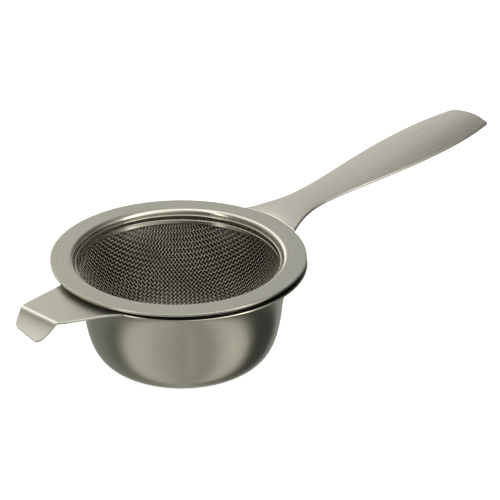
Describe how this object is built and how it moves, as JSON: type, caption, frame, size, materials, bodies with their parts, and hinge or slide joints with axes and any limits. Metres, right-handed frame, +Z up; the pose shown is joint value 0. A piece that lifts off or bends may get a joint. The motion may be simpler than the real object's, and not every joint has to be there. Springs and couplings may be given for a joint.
{
  "type": "tea strainer with drip bowl",
  "caption": "Flat-rimmed tea strainer with a long handle and a woven mesh basket, resting in a flanged drip bowl with a bent thumb tab.",
  "frame": {"origin": "centre of the drip bowl's flat base, on the table", "axes": "+Z up along the bowl's axis, +X towards the strainer's handle, thumb tab along -X"},
  "size_m": [0.1769, 0.0723, 0.0407],
  "materials": {
    "bowl_steel": "brushed",
    "strainer_steel": "brushed",
    "clamp_steel": "satin",
    "mesh_steel": "woven wire"
  },
  "bodies": {
    "drip_bowl": {"drip_bowl": "bowl_steel", "thumb_tab": "bowl_steel"},
    "strainer": {"strainer_rim": "strainer_steel", "strainer_handle": "strainer_steel", "mesh_clamp_ring": "clamp_steel", "mesh_basket": "mesh_steel"}
  },
  "joints": [
    {"name": "strainer_lift", "type": "slide", "parent": "drip_bowl", "child": "strainer", "axis": [0, 0, 1], "range_m": [0, 0.06]}
  ]
}
